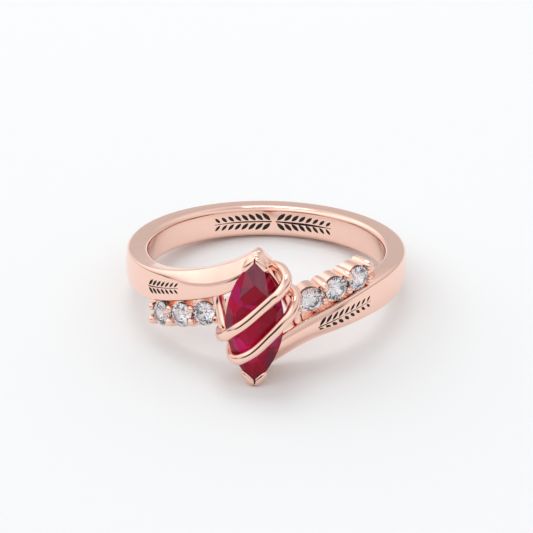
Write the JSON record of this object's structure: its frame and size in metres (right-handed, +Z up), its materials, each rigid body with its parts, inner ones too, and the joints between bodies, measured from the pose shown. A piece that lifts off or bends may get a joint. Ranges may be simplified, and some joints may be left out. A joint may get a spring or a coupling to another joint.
{
  "type": "class ring",
  "caption": "Bypass ring whose two arms sweep past a long marquise stone, with two crossing wires over it and a short row of round stones beside each arm.",
  "frame": {"origin": "on the table under the middle of the ring's bounding box, as the ring lies on its side", "axes": "-Y towards the head, +Y towards the back of the band, +Z up, +X to the right as seen from the head"},
  "size_m": [0.0206, 0.024, 0.0097],
  "materials": {
    "rose_gold": "polished",
    "red_stone": "polished, transparent",
    "clear_stone": "polished, transparent"
  },
  "bodies": {
    "root": {"mounting": "rose_gold", "marquise_stone": "red_stone", "side_stone_left_1": "clear_stone", "side_stone_left_2": "clear_stone", "side_stone_left_3": "clear_stone", "side_stone_right_1": "clear_stone", "side_stone_right_2": "clear_stone", "side_stone_right_3": "clear_stone"}
  },
  "joints": []
}
